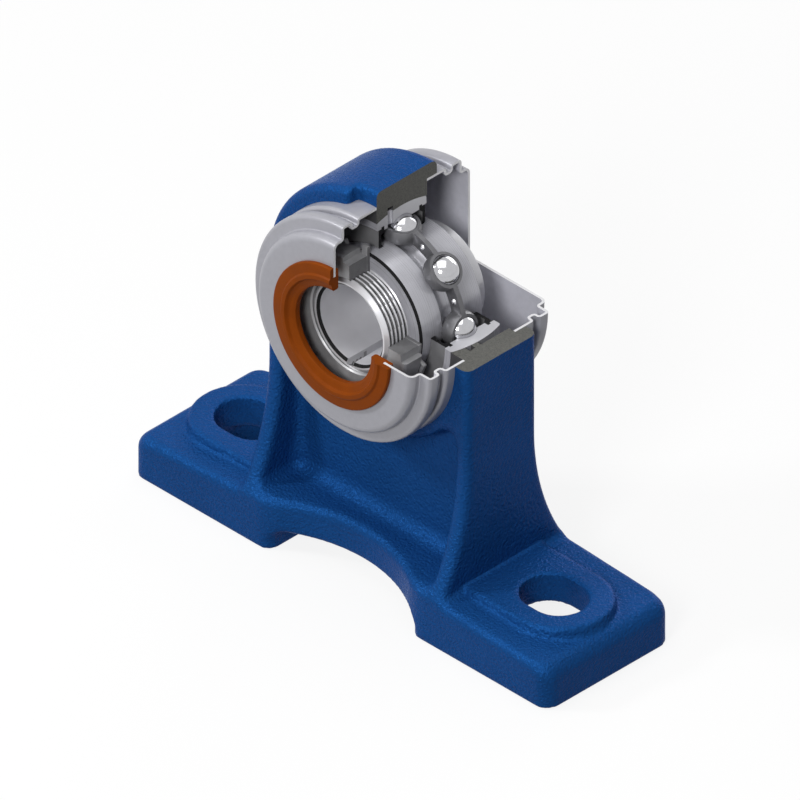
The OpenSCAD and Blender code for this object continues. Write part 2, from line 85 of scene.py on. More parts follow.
# The quarter above the shaft on the right is missing, so a turned piece runs from the top round to the right
CUT_FROM = 90.0
CUT_TO = 360.0


# Materials


def new_material(name, colour, metallic=0.0, roughness=0.5, **sockets):
    """A material with a Principled shader whose even values stand on its own sockets."""
    material = bpy.data.materials.new(name)
    material.use_nodes = True
    shader = material.node_tree.nodes["Principled BSDF"]
    shader.inputs["Base Color"].default_value = (*colour, 1.0)
    shader.inputs["Metallic"].default_value = metallic
    shader.inputs["Roughness"].default_value = roughness
    for socket, value in sockets.items():
        shader.inputs[socket.replace("_", " ")].default_value = value
    return material


def add_node(owner, kind, values=None, **settings):
    """A node in a material, a world or a node group, with its settings and its inputs' values.

    An output that is given as a value is linked.
    """
    tree = getattr(owner, "node_tree", owner)
    node = tree.nodes.new(kind)
    for key, value in settings.items():
        setattr(node, key, value)
    for key, value in (values or {}).items():
        if isinstance(value, bpy.types.NodeSocket):
            tree.links.new(value, node.inputs[key])
        else:
            node.inputs[key].default_value = value
    return node


def dressed(material, **sources):
    """Links outputs to the shader's sockets and gives the material back."""
    shader = material.node_tree.nodes["Principled BSDF"]
    for socket, source in sources.items():
        material.node_tree.links.new(source, shader.inputs[socket.replace("_", " ")])
    return material


def object_place(material):
    """The point on the object, in metres."""
    return add_node(material, "ShaderNodeTexCoord").outputs["Object"]


def turned_place(material):
    """Coordinates for marks that run round the shaft: distance from its axis and place along it."""
    parts = add_node(material, "ShaderNodeSeparateXYZ", {"Vector": object_place(material)}).outputs
    height = {0: parts["Z"], 1: SHAFT_HEIGHT * MM}
    height = add_node(material, "ShaderNodeMath", height, operation="SUBTRACT").outputs[0]
    across = add_node(material, "ShaderNodeCombineXYZ", {"X": parts["X"], "Y": height}).outputs[0]
    distance = add_node(material, "ShaderNodeVectorMath", {0: across}, operation="LENGTH").outputs["Value"]
    return add_node(material, "ShaderNodeCombineXYZ", {"X": distance, "Y": parts["Y"]}).outputs[0]


def noise(material, place, scale, detail=2.0, roughness=0.5, distortion=0.0):
    """Noise between 0 and 1 at a scale per metre."""
    values = {"Vector": place, "Scale": scale, "Detail": detail, "Roughness": roughness}
    values["Distortion"] = distortion
    return add_node(material, "ShaderNodeTexNoise", values).outputs["Fac"]


def spread(material, value, low, high, start=0.3, end=0.7):
    """Stretches a value from start..end to low..high."""
    values = {"Value": value, "From Min": start, "From Max": end, "To Min": low, "To Max": high}
    return add_node(material, "ShaderNodeMapRange", values).outputs["Result"]


def shade_of(colour, factor):
    """A lighter or darker shade of a colour."""
    return tuple(min(1.0, channel * factor) for channel in colour)


def mixed(material, factor, first, second, blend="MIX"):
    """Two colours mixed by a factor, each of them a colour or an output."""
    values = {0: factor}
    for place, colour in ((6, first), (7, second)):
        values[place] = (*colour, 1.0) if isinstance(colour, tuple) else colour
    return add_node(material, "ShaderNodeMix", values, data_type="RGBA", blend_type=blend).outputs[2]


def mottled(material, value, colour, low, high):
    """The colour made uneven by a noise, between low and high times its brightness."""
    factor = spread(material, value, 0.0, 1.0)
    return mixed(material, factor, shade_of(colour, low), shade_of(colour, high))


def bump(material, height, distance, strength=1.0, before=None):
    """A bump of that height in metres, over an earlier one where given."""
    values = {"Height": height, "Distance": distance, "Strength": strength}
    if before is not None:
        values["Normal"] = before
    return add_node(material, "ShaderNodeBump", values).outputs["Normal"]


def painted_iron(colour, grain):
    """Blue enamel over the rough skin of a casting."""
    material = new_material("blue enamel", colour, metallic=0.2, roughness=0.28, Specular_IOR_Level=0.03,
                            Specular_Tint=(0.12, 0.37, 1.0, 1.0))
    place = object_place(material)
    clouds = noise(material, place, 45.0, 3.0)
    fine = noise(material, place, 1.0 / grain, 3.0, 0.6, 0.4)
    cells = {"Vector": place, "Scale": 0.9 / grain, "Smoothness": 0.6}
    leather = add_node(material, "ShaderNodeTexVoronoi", cells, feature="SMOOTH_F1").outputs["Distance"]
    worn = mixed(material, spread(material, fine, 0.0, 1.0, 0.35, 0.65),
                 mottled(material, clouds, colour, 0.93, 1.07), (0.86, 0.87, 0.9), "MULTIPLY")
    wrinkles = bump(material, leather, 0.0003, 0.8)
    return dressed(material, Base_Color=worn, Roughness=spread(material, fine, 0.24, 0.34),
                   Normal=bump(material, fine, 0.00034, 1.0, wrinkles))


def sawn_iron(colour):
    """The casting's own grey grain where it is cut through, with dark graphite specks."""
    material = new_material("sawn cast iron", colour, metallic=0.25, roughness=0.6)
    place = object_place(material)
    grain = noise(material, place, 900.0, 4.0, 0.7)
    specks = noise(material, place, 2300.0, 2.0, 0.6)
    flecked = mixed(material, spread(material, specks, 0.0, 1.0, 0.3, 0.5), shade_of(colour, 0.4),
                    mottled(material, grain, colour, 0.55, 1.35))
    return dressed(material, Base_Color=flecked, Roughness=spread(material, grain, 0.5, 0.75),
                   Normal=bump(material, grain, 0.00006, 0.6))


def turned_steel(name, colour, roughness, depth, metallic, lines=5200.0):
    """Steel that was turned or ground, with fine marks round the shaft."""
    material = new_material(name, colour, metallic=metallic, roughness=roughness)
    marks = noise(material, turned_place(material), lines, 2.0, 0.6)
    haze = noise(material, object_place(material), 140.0)
    return dressed(material, Base_Color=mottled(material, haze, colour, 0.95, 1.05),
                   Roughness=spread(material, marks, roughness * 0.94, roughness * 1.08),
                   Normal=bump(material, marks, depth, 0.6))


def pressed_sheet(name, colour):
    """Zinc plated sheet, satin, with faint draw marks round the shaft and a fine spangle."""
    material = new_material(name, colour, metallic=0.1, roughness=0.36)
    draw = noise(material, turned_place(material), 2400.0)
    spangle = noise(material, object_place(material), 520.0, 3.0, 0.6)
    marks = bump(material, draw, 0.000006, 0.5)
    return dressed(material, Base_Color=mottled(material, spangle, colour, 0.96, 1.04),
                   Roughness=spread(material, spangle, 0.31, 0.42),
                   Normal=bump(material, spangle, 0.000004, 0.4, marks))


def moulded_rubber(name, colour, roughness):
    """Rubber with a fine matt skin."""
    material = new_material(name, colour, roughness=roughness, Specular_IOR_Level=0.04)
    place = object_place(material)
    skin = noise(material, place, 2600.0)
    bloom = noise(material, place, 190.0)
    return dressed(material, Base_Color=mottled(material, bloom, colour, 0.93, 1.06),
                   Roughness=spread(material, bloom, roughness * 0.88, roughness * 1.15),
                   Normal=bump(material, skin, 0.00002, 0.4))


def dark_steel(name, colour, roughness, metallic):
    """Steel with a dark oxide skin, a little uneven."""
    material = new_material(name, colour, metallic=metallic, roughness=roughness)
    place = object_place(material)
    skin = noise(material, place, 420.0, 4.0, 0.6)
    fine = noise(material, place, 2400.0)
    return dressed(material, Base_Color=mottled(material, skin, colour, 0.88, 1.12),
                   Roughness=spread(material, skin, roughness * 0.85, roughness * 1.2),
                   Normal=bump(material, fine, 0.00001, 0.5))


def painted_black_shade(colour):
    """Nearly black matt paint, painted shade in thread roots and along chamfers."""
    material = new_material("black painted shade", colour, roughness=0.7, Specular_IOR_Level=0.1)
    # Uneven darkness of the painted shade
    scale = noise(material, object_place(material), 1500.0)
    return dressed(material, Base_Color=mottled(material, scale, colour, 0.7, 1.3))


def polished_steel(name, colour, roughness):
    """Bearing steel, lapped to a mirror, with the faintest haze."""
    material = new_material(name, colour, metallic=1.0, roughness=roughness)
    haze = noise(material, object_place(material), 700.0, 3.0)
    return dressed(material, Base_Color=mottled(material, haze, colour, 0.97, 1.03),
                   Roughness=spread(material, haze, roughness * 0.7, roughness * 1.4))


def finish_recipes():
    """How each finish is made, with the colours that a user may have changed."""
    s = bpy.context.scene
    paint, iron, zinc = tuple(s.casting.paint), tuple(s.casting.iron), tuple(s.covers.zinc)
    orange, grey = tuple(s.seals.shaft_rubber), tuple(s.seals.insert_rubber)
    ring, cage = tuple(s.insert.steel), tuple(s.insert.cage)
    sleeve, nut = tuple(s.sleeve.steel), tuple(s.sleeve.nut)
    machined, fine, ground = 0.00001, 0.000004, 0.0000003
    return {
        "paint": (painted_iron, paint, s.casting.paint_grain),
        "sawn iron": (sawn_iron, iron),
        "machined iron":
            (turned_steel, "machined cast iron", (0.16, 0.16, 0.165), 0.45, machined, 0.8, 2600.0),
        "sheet": (pressed_sheet, "dull zinc plating", zinc),
        # The covers' inside: the same zinc painted nearly twice as light, as painted light that makes up for
        # the shade inside the covers
        "sheet inside": (pressed_sheet, "bright zinc plating", shade_of(zinc, 1.95)),
        "sheet edge": (turned_steel, "sheared sheet edge", (0.72, 0.72, 0.74), 0.45, fine, 0.3),
        "orange rubber": (moulded_rubber, "orange seal rubber", orange, 0.42),
        "grey rubber": (moulded_rubber, "grey seal rubber", grey, 0.45),
        "black rubber": (moulded_rubber, "cut black rubber", (0.012, 0.012, 0.013), 0.5),
        # Painted shade, nearly black, for thread roots and chamfers
        "black edge": (painted_black_shade, (0.01, 0.01, 0.011)),
        "ring steel": (turned_steel, "ground ring steel", ring, 0.28, ground, 0.3),
        "ring section": (turned_steel, "cut ring steel", (0.50, 0.50, 0.53), 0.42, fine, 0.35),
        "sleeve steel": (turned_steel, "turned sleeve steel", sleeve, 0.3, ground, 0.3),
        "dark steel": (dark_steel, "oxidised nut steel", nut, 0.4, 0.35),
        # Also painted shade on the sleeve's thread flanks
        "dark section and thread shade": (dark_steel, "cut nut steel", shade_of(nut, 0.42), 0.5, 0.3),
        "cage steel": (dark_steel, "phosphated cage steel", cage, 0.36, 0.4),
        "rivet steel": (polished_steel, "bright rivet steel", (0.62, 0.62, 0.64), 0.22),
        "ball steel": (polished_steel, "lapped ball steel", (0.48, 0.48, 0.5), 0.12),
    }


MATERIALS = {}


def finish_of(name):
    """A finish by its name, made the first time that a piece asks for it."""
    if name not in MATERIALS:
        maker, *values = finish_recipes()[name]
        MATERIALS[name] = maker(*values)
    return MATERIALS[name]


# Meshes


def new_piece(name, mesh, finishes=()):
    """An object at the origin with that mesh and those finishes in its slots."""
    piece = bpy.data.objects.new(name, mesh)
    bpy.context.scene.collection.objects.link(piece)
    for finish in finishes:
        mesh.materials.append(finish_of(finish))
    return piece


def place_piece(piece, body, slot, *nodes):
    """Rides the piece on its CAD body, in place of the CAD nodes that it stands for."""
    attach(piece, body)
    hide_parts(*nodes)


def smooth(mesh, angle):
    """Smooth shading that stops at edges sharper than the angle."""
    mesh.shade_smooth()
    mesh.set_sharp_from_angle(angle=math.radians(angle))


def plain_mesh(piece):
    """Replaces a piece's mesh and modifiers by what they come to."""
    bpy.context.view_layer.update()
    graph = bpy.context.evaluated_depsgraph_get()
    mesh = bpy.data.meshes.new_from_object(piece.evaluated_get(graph))
    piece.modifiers.clear()
    old = piece.data
    piece.data = mesh
    bpy.data.meshes.remove(old)
    return mesh


def cut_away(piece, *cutters):
    """Cuts the cutters out of the piece and removes them."""
    finishes = list(piece.data.materials)
    for cutter in cutters:
        modifier = piece.modifiers.new("cut", "BOOLEAN")
        modifier.operation = "DIFFERENCE"
        modifier.solver = "MANIFOLD"
        modifier.object = cutter
    mesh = plain_mesh(piece)
    mesh.materials.clear()
    for finish in finishes:
        mesh.materials.append(finish)
    for cutter in cutters:
        mesh = cutter.data
        bpy.data.objects.remove(cutter)
        bpy.data.meshes.remove(mesh)


def bevelled(piece, width, angle):
    """Rounds the piece's edges that are sharper than the angle, by a width in millimetres."""
    modifier = piece.modifiers.new("edges", "BEVEL")
    modifier.width = width * MM
    modifier.segments = 2
    modifier.limit_method = "ANGLE"
    modifier.angle_limit = math.radians(angle)
    modifier.harden_normals = False
    plain_mesh(piece)


@contextlib.contextmanager
def work_on(mesh):
    """Opens a mesh for work and writes it back."""
    work = bmesh.new()
    work.from_mesh(mesh)
    yield work
    work.to_mesh(mesh)
    work.free()


def face_outwards(work):
    """Turns the faces of a closed mesh over where they all look inwards."""
    if work.calc_volume(signed=True) < 0:
        bmesh.ops.reverse_faces(work, faces=work.faces)


def closed_mesh(name, points, faces, slots=None):
    """A mesh from points in millimetres, its doubles merged and its faces outwards.

    Each face may have a material slot of its own.
    """
    mesh = bpy.data.meshes.new(name)
    mesh.from_pydata([tuple(MM * c for c in p) for p in points], [], faces)
    if slots is not None:
        give_slots(mesh, slots)
    with work_on(mesh) as work:
        bmesh.ops.remove_doubles(work, verts=work.verts, dist=1e-7)
        bmesh.ops.recalc_face_normals(work, faces=work.faces)
        face_outwards(work)
    return mesh


def box_mesh(name, low, high):
    """A plain box, used only as a cutter."""
    points = [(x, y, z) for x in (low[0], high[0]) for y in (low[1], high[1]) for z in (low[2], high[2])]
    faces = [(0, 1, 3, 2), (4, 6, 7, 5), (0, 4, 5, 1), (2, 3, 7, 6), (0, 2, 6, 4), (1, 5, 7, 3)]
    return closed_mesh(name, points, faces)


def row_faces(rows, n, whole=False, edges=None):
    """Faces between rows of n points each, closed to a ring, or with the first and last row as ends."""
    faces = []
    for k in range(rows if whole else rows - 1):
        a = k * n
        b = (k + 1) % rows * n
        faces += [(a + i, a + (i + 1) % n, b + (i + 1) % n, b + i) for i in range(edges or n)]
    if not whole:
        faces += [tuple(range(n)), tuple(range(rows * n - 1, (rows - 1) * n - 1, -1))]
    return faces


def turned_mesh(name, profile, steps=216, whole=False, slots=None):
    """A closed profile of (radius, place along the shaft), turned round the shaft axis.

    It is turned from the top round to the right, so that the quarter is left out, or all the way where it is
    whole. Each edge of the profile may have a material slot of its own.
    """
    first, last = (0.0, 360.0) if whole else (CUT_FROM, CUT_TO)
    n = len(profile)
    rings = steps if whole else steps + 1
    points = []
    for k in range(rings):
        a = math.radians(first + (last - first) * k / steps)
        points += [(r * math.cos(a), y, SHAFT_HEIGHT + r * math.sin(a)) for r, y in profile]
    faces = row_faces(rings, n, whole)
    each = None
    if slots is not None:
        each = list(slots) * steps + [0] * (len(faces) - n * steps)
    return closed_mesh(name, points, faces, each)


def face_values(mesh, key):
    """The x, y and z of a value of every face, such as its centre."""
    values = np.empty(3 * len(mesh.polygons))
    mesh.polygons.foreach_get(key, values)
    return values.reshape(-1, 3).T


def distances(mesh):
    """For each face, its middle's distance from the shaft axis and its place along it, in millimetres."""
    x, y, z = face_values(mesh, "center") / MM
    return np.hypot(x, z - SHAFT_HEIGHT), y


def on_cut_face(mesh):
    """For each face, whether it lies on one of the two section planes."""
    x, _, z = face_values(mesh, "center") / MM
    right, _, up = face_values(mesh, "normal")
    near = 0.002
    across = (np.abs(x) < near) & (right > 0.99) & (z > SHAFT_HEIGHT - near)
    level = (np.abs(z - SHAFT_HEIGHT) < near) & (up > 0.99) & (x > -near)
    return across | level


def give_slots(mesh, slots):
    """Gives each face its material slot."""
    mesh.polygons.foreach_set("material_index", np.asarray(slots, dtype=np.int32))
    mesh.update()


def mark_section(mesh):
    """Puts the second finish on the faces of the section and leaves the others as they are."""
    slots = np.empty(len(mesh.polygons), dtype=np.int32)
    mesh.polygons.foreach_get("material_index", slots)
    slots[on_cut_face(mesh)] = 1
    give_slots(mesh, slots)


# Profiles


def corner_points(before, corner, after, radius, count):
    """Points of the arc that rounds one corner."""
    a, b, c = (np.asarray(p, dtype=float) for p in (before, corner, after))
    u = (a - b) / np.linalg.norm(a - b)
    v = (c - b) / np.linalg.norm(c - b)
    half = math.acos(max(-1.0, min(1.0, float(u @ v)))) / 2
    if radius <= 0 or half > math.radians(89):
        return [tuple(b)]
    middle = (u + v) / np.linalg.norm(u + v)
    centre = b + middle * radius / math.sin(half)
    start = b + u * radius / math.tan(half) - centre
    turn = (math.pi - 2 * half) * math.copysign(1.0, u[1] * v[0] - u[0] * v[1])
    points = []
    for i in range(count + 1):
        t = turn * i / count
        points.append((centre[0] + start[0] * math.cos(t) - start[1] * math.sin(t),
                       centre[1] + start[0] * math.sin(t) + start[1] * math.cos(t)))
    return points


def rounded_outline(corners, radii, count):
    """A closed outline whose corners are rounded, each by its own radius."""
    points = []
    for i, corner in enumerate(corners):
        points += corner_points(corners[i - 1], corner, corners[(i + 1) % len(corners)], radii[i], count)
    return points


def rounded_path(path, radii, count):
    """An open path whose inner corners are rounded."""
    points = [tuple(path[0])]
    for i in range(1, len(path) - 1):
        points += corner_points(path[i - 1], path[i], path[i + 1], radii[i - 1], count)
    points.append(tuple(path[-1]))
    return points


def sheet_outline(path, thickness):
    """The closed outline of a sheet whose middle follows the path."""
    p = np.asarray(path, dtype=float)
    steps = np.diff(p, axis=0)
    steps /= np.linalg.norm(steps, axis=1)[:, None]
    before = np.vstack([steps[:1], steps])
    after = np.vstack([steps, steps[-1:]])
    along = before + after
    along /= np.linalg.norm(along, axis=1)[:, None]
    aside = np.column_stack([-along[:, 1], along[:, 0]])
    reach = np.sum(aside * np.column_stack([-before[:, 1], before[:, 0]]), axis=1)
    push = aside / reach[:, None] * thickness / 2
    return [tuple(q) for q in p + push] + [tuple(q) for q in (p - push)[::-1]]


def arc_profile(centre_r, radius, y0, y1, count, outwards=True):
    """Points of a circle centred on the centre plane, from y0 to y1, on its outer or inner side."""
    sign = 1 if outwards else -1
    a0 = math.asin(y0 / radius)
    a1 = math.asin(y1 / radius)
    angles = [a0 + (a1 - a0) * i / count for i in range(count + 1)]
    return [(centre_r + sign * radius * math.cos(a), radius * math.sin(a)) for a in angles]


def mirrored(profile):
    """The same profile in front of the centre plane."""
    return [(r, -y) for r, y in profile]


# The casting, as distances on a grid that are joined with soft fillets


def join_round(a, b, r):
    """Distance to two shapes joined by a fillet of radius r."""
    return np.maximum(r, np.minimum(a, b)) - np.hypot(np.maximum(r - a, 0), np.maximum(r - b, 0))


def meet_round(a, b, r):
    """Distance to what two shapes share, its edge rounded by radius r."""
    return np.minimum(-r, np.maximum(a, b)) + np.hypot(np.maximum(r + a, 0), np.maximum(r + b, 0))


def ease(value, start, end):
    """0 before start, 1 after end, smooth between."""
    t = np.clip((value - start) / (end - start), 0, 1)
    return t * t * (3 - 2 * t)


def casting_distance(x, y, z, edge_r):
    """Distance from points in millimetres to the casting before it is machined; negative inside."""
    half_len, half_depth, foot_h, slope = 82.5, 25.0, 15.9, math.radians(2.8)
    floor_h, rib_in, web, flare_top = 17.8, 34.5, 6.0, 57.0
    ax, ay = np.abs(x), np.abs(y)
    shaft = np.hypot(x, z - SHAFT_HEIGHT)
    # Front view: the upright with its round top, standing on the sloping feet
    upright = np.where(z > SHAFT_HEIGHT, shaft, ax) - HUB_R
    feet = (z - foot_h + (ax - HUB_R) * math.tan(slope)) * math.cos(slope)
    front_view = join_round(upright, feet, 2.2)
    # Side view: straight hub, ribs that spread to the base, and the base's plan with its round corners
    spread_in = half_depth - HALF_HUB
    spread_r = ((flare_top - foot_h) ** 2 + spread_in**2) / (2 * spread_in)
    ribs = spread_r - np.hypot(ay - HALF_HUB - spread_r, z - flare_top)
    corner_r = 4.8
    plan = np.hypot(np.maximum(ax - half_len + corner_r, 0), np.maximum(ay - half_depth + corner_r, 0))
    plan += np.minimum(np.maximum(ax - half_len + corner_r, ay - half_depth + corner_r), 0) - corner_r
    side_view = np.where(z > flare_top, ay - HALF_HUB, np.where(z > foot_h, ribs, plan))
    # The feet's ends are rounder than the other edges
    radius = edge_r + (4.6 - edge_r) * ease(ax, 74.0, 82.0)
    body = meet_round(front_view, side_view, radius)
    # Pockets between the ribs on both sides of the web
    pocket = meet_round(ax - rib_in, 38.5 - shaft, 8.0)
    pocket = meet_round(pocket, floor_h - z, 3.5)
    pocket = meet_round(pocket, web - ay, 3.0 + 2.0 * (1 - ease(z, 22.0, 30.0)))
    pocket = np.maximum(pocket, z - 80.0)
    body = meet_round(body, -pocket, edge_r)
    # The waist in front and behind
    waist_in, waist_half = 9.2, 28.5
    waist_r = (waist_half**2 + waist_in**2) / (2 * waist_in)
    waist = np.hypot(x, ay - half_depth + waist_in - waist_r) - waist_r
    body = meet_round(body, -waist, edge_r)
    # Raised pads with sloping sides that run into the upright
    pad_r, pad_top, pad_end = 15.6, 17.6, 62.5
    across = np.where(ax < pad_end, ay, np.hypot(ax - pad_end, y))
    pad = meet_round(across - pad_r - 0.25 * np.clip(pad_top - z, 0, 3), z - pad_top, 0.6)
    pad = np.maximum(pad, 36.0 - ax)
    body = join_round(body, pad, 0.5)
    # Bolt slots
    slot_x, slot_r = 60.5, 8.5
    slot = np.hypot(np.maximum(np.abs(ax - slot_x) - 2.0, 0), y) - slot_r
    body = meet_round(body, -slot, 0.7)
    # Hollow between the feet
    hollow_half, hollow_top = 28.0, 7.0
    hollow = meet_round(ax - hollow_half, z - hollow_top, 3.5)
    body = meet_round(body, -hollow, 1.2 + 1.8 * (1 - ease(z, 2.5, 6.0)))
    # Each foot is cored from below, and its bolt slot opens into the hollow
    core_x, core_r, core_top = 52.75, 17.5, 7.8
    core = np.hypot(np.maximum(np.abs(ax - core_x) - 1.75, 0), y) - core_r
    core = meet_round(core, z - core_top, 2.0)
    body = meet_round(body, -core, 0.6)
    # Notch in the front lip, to lift out the cover
    notch_half, lip_y = 7.5, -HALF_SEAT
    notch = meet_round(meet_round(ax - notch_half, y - lip_y, 1.0), SHAFT_HEIGHT + SEAT_R - z, 1.0)
    body = meet_round(body, -notch, 1.5)
    return np.maximum(body, -z)


def casting_mesh(name, voxel, edge_r):
    """The casting's surface, from its distances on a grid of voxels."""
    def axis(low, high):
        return (np.arange(math.floor(low / voxel), math.ceil(high / voxel)) + 0.5) * voxel

    xs, ys, zs = axis(-84.5, 84.5), axis(-27, 27), axis(-2, 132)
    x, y, z = np.meshgrid(xs, ys, zs, indexing="ij", sparse=True)
    values = casting_distance(x, y, z, edge_r) / voxel
    # The inside of the bore is machined away later, so it is left hollow here
    hollow_r = 22.0
    # How many voxels the distances reach on each side of the surface
    band = 3.0
    bore = band - np.maximum(np.hypot(x, z - SHAFT_HEIGHT) - hollow_r, np.abs(y) - HALF_SEAT) / voxel
    values = np.maximum(values, np.minimum(bore, band) - band)
    grid = openvdb.FloatGrid(band)
    grid.copyFromArray(np.clip(values, -band, band).astype(np.float32))
    points, triangles, quads = grid.convertToPolygons(isovalue=0.0, adaptivity=0.0)
    points = np.asarray(points, dtype=float) * voxel + (xs[0], ys[0], zs[0])
    mesh = bpy.data.meshes.new(name)
    faces = [tuple(face) for part in (quads, triangles) for face in np.asarray(part).tolist()]
    mesh.from_pydata((points * MM).tolist(), [], faces)
    with work_on(mesh) as work:
        face_outwards(work)
    return mesh


# Sizes and colours that a user may change


class CastingSettings(bpy.types.PropertyGroup):
    """The painted iron housing"""

    edge_r: FloatProperty(
        name="Edge radius", description="Radius of the casting's outer edges, in mm",
        default=2.4, min=1.5, max=3.0)
    voxel: FloatProperty(
        name="Voxel", description="Fineness of the casting's surface, in mm", default=0.75, min=0.7, max=2.0)
    paint: FloatVectorProperty(
        name="Paint", description="Colour of the enamel", subtype="COLOR",
        default=(0.0085, 0.064, 0.225), min=0, max=1)
    paint_grain: FloatProperty(
        name="Paint grain", description="Size of the enamel's wrinkles", unit="LENGTH",
        default=0.0008, min=0.0003, max=0.005)
    iron: FloatVectorProperty(
        name="Iron", description="Colour of the casting where it is cut", subtype="COLOR",
        default=(0.088, 0.088, 0.08), min=0, max=1)


class CoverSettings(bpy.types.PropertyGroup):
    """The two pressed covers"""

    sheet: FloatProperty(
        name="Sheet", description="Thickness of the covers' sheet, in mm", default=0.8, min=0.5, max=1.0)
    zinc: FloatVectorProperty(
        name="Zinc", description="Colour of the plated sheet", subtype="COLOR",
        default=(0.34, 0.34, 0.375), min=0, max=1)


class SealSettings(bpy.types.PropertyGroup):
    """The rubber seals"""

    shaft_rubber: FloatVectorProperty(
        name="Shaft seal", description="Colour of the shaft seal", subtype="COLOR",
        default=(0.215, 0.045, 0.0035), min=0, max=1)
    insert_rubber: FloatVectorProperty(
        name="Bearing seals", description="Colour of the insert's seals", subtype="COLOR",
        default=(0.17, 0.17, 0.175), min=0, max=1)


class InsertSettings(bpy.types.PropertyGroup):
    """The rings, the cage and the balls"""

    steel: FloatVectorProperty(
        name="Ring steel", description="Colour of the rings", subtype="COLOR",
        default=(0.47, 0.47, 0.51), min=0, max=1)
    cage: FloatVectorProperty(
        name="Cage steel", description="Colour of the cage", subtype="COLOR",
        default=(0.15, 0.15, 0.16), min=0, max=1)
    rivet_head: FloatProperty(
        name="Rivet head", description="Diameter of the rivets' heads, in mm", default=2.2, min=1.8, max=2.4)


class SleeveSettings(bpy.types.PropertyGroup):
    """The adapter sleeve with its nut and washer"""

    pitch: FloatProperty(
        name="Pitch", description="Pitch of the sleeve's thread, in mm", default=1.5, min=1.0, max=2.0)
    thread_depth: FloatProperty(
        name="Thread depth", description="Depth of the thread, in mm", default=0.75, min=0.3, max=0.9)
    steel: FloatVectorProperty(
        name="Sleeve steel", description="Colour of the sleeve", subtype="COLOR",
        default=(0.68, 0.68, 0.71), min=0, max=1)
    nut: FloatVectorProperty(
        name="Nut steel", description="Colour of the nut and the washer", subtype="COLOR",
        default=(0.31, 0.31, 0.32), min=0, max=1)


class StageSettings(bpy.types.PropertyGroup):
    """Light and camera"""

    top_light: FloatProperty(
        name="Top light", description="Power of the lamp overhead", unit="POWER", default=9.0, min=0)
    front_light: FloatProperty(
        name="Front light", description="Power of the lamp beside the camera", unit="POWER",
        default=13.5, min=0)
    sky: FloatProperty(
        name="Sky", description="Even light from all round", subtype="FACTOR", default=0.08, min=0, max=1)
    view_width: FloatProperty(
        name="View", description="Width of the picture", unit="LENGTH", default=0.2247, min=0.05)


# One operator for each piece or group of like pieces


class BEARING_OT_housing(bpy.types.Operator):
    """Build the painted housing, machined and cut open"""

    bl_idname = "bearing.housing"
    bl_label = "Housing"

    def execute(self, context):
        s = context.scene.casting
        piece = new_piece("housing_casting", casting_mesh("housing_casting", s.voxel, s.edge_r))
        # The bore: a spherical seat with an oil groove, between two fits for the covers
        fit_r, past = COVER_R + 0.05, 20
        groove = (-5.6, -3.4)
        groove_r = SEAT_R + 1.6
        half = HALF_SEAT
        ball = arc_profile(0, SEAT_R, -half, groove[0], 10)
        ball += [(groove_r, groove[0]), (groove_r, groove[1])]
        ball += arc_profile(0, SEAT_R, groove[1], half, 24)
        profile = [(0, -past), (fit_r, -past), (fit_r, -half)] + ball
        profile += [(fit_r, half), (fit_r, past), (0, past)]
        bore = new_piece("bore", turned_mesh("bore", profile, 256, whole=True))
        # Loading slots, open to the rear, through which the insert is swung in
        reach, high = SEAT_R + 1.5, 9.85
        turn = math.asin(high / reach)
        angles = np.linspace(-turn, turn, 25)
        side = [(reach * math.cos(a), SHAFT_HEIGHT + reach * math.sin(a)) for a in angles]
        outline = side + [(-x, 2 * SHAFT_HEIGHT - z) for x, z in side]
        points = [(x, y, z) for y in (-1.2, 19) for x, z in outline]
        slots = new_piece("slots", closed_mesh("slots", points, row_faces(2, len(outline))))
        quarter = new_piece("quarter", box_mesh("quarter", (0, -60, SHAFT_HEIGHT), (60, 60, 160)))
        cut_away(piece, bore, slots, quarter)
        piece.data.materials.clear()
        for finish in ("paint", "machined iron", "sawn iron"):
            piece.data.materials.append(finish_of(finish))
        radius, along = distances(piece.data)
        machined = (radius < fit_r + 0.02) & (np.abs(along) < HALF_HUB + 0.2)
        give_slots(piece.data, np.where(on_cut_face(piece.data), 2, np.where(machined, 1, 0)))
        smooth(piece.data, 32)
        place_piece(piece, "housing", "housing_iron", "housing")
        return {"FINISHED"}


def cover_outline(sheet, end_r):
    """Section of a pressed cover behind the centre plane, down to radius end_r."""
    r = COVER_R - sheet / 2
    bead, bead_w, bead_in = 18.6, 2.6, 2.0
    shoulder, shoulder_in, reach = 23.75 - sheet / 2, 4.2, 27.1 - sheet / 2
    path = [
        (r, HALF_SEAT),
        (r, bead - bead_w / 2),
        (r - bead_in, bead - bead_w / 2),
        (r - bead_in, bead + bead_w / 2),
        (r, bead + bead_w / 2),
        (r, shoulder),
        (r - shoulder_in, shoulder),
        (r - shoulder_in, reach),
        (end_r, reach),
    ]
    bend_r, last_bend_r = 0.85, 1.8
    return sheet_outline(rounded_path(path, [bend_r] * 6 + [last_bend_r], 8), sheet)


class BEARING_OT_covers(bpy.types.Operator):
    """Press the open front cover and the closed rear cover from sheet"""

    bl_idname = "bearing.covers"
    bl_label = "Covers"

    def execute(self, context):
        sheet = context.scene.covers.sheet
        for name, end_r in (("front_cover", 19.6), ("rear_cover", 0.0)):
            outline = cover_outline(sheet, end_r)
            if name == "front_cover":
                outline = mirrored(outline)
            half = len(outline) // 2
            # Faces on the inside of the sheet take the third slot, the zinc with painted light
            inside = [2 if i < half - 1 else 0 for i in range(len(outline))]
            mesh = turned_mesh(name, outline, 270, slots=inside)
            piece = new_piece(name + "_sheet", mesh, ("sheet", "sheet edge", "sheet inside"))
            mark_section(piece.data)
            smooth(piece.data, 30)
            place_piece(piece, "housing", "sheet_zinc", name)
        return {"FINISHED"}


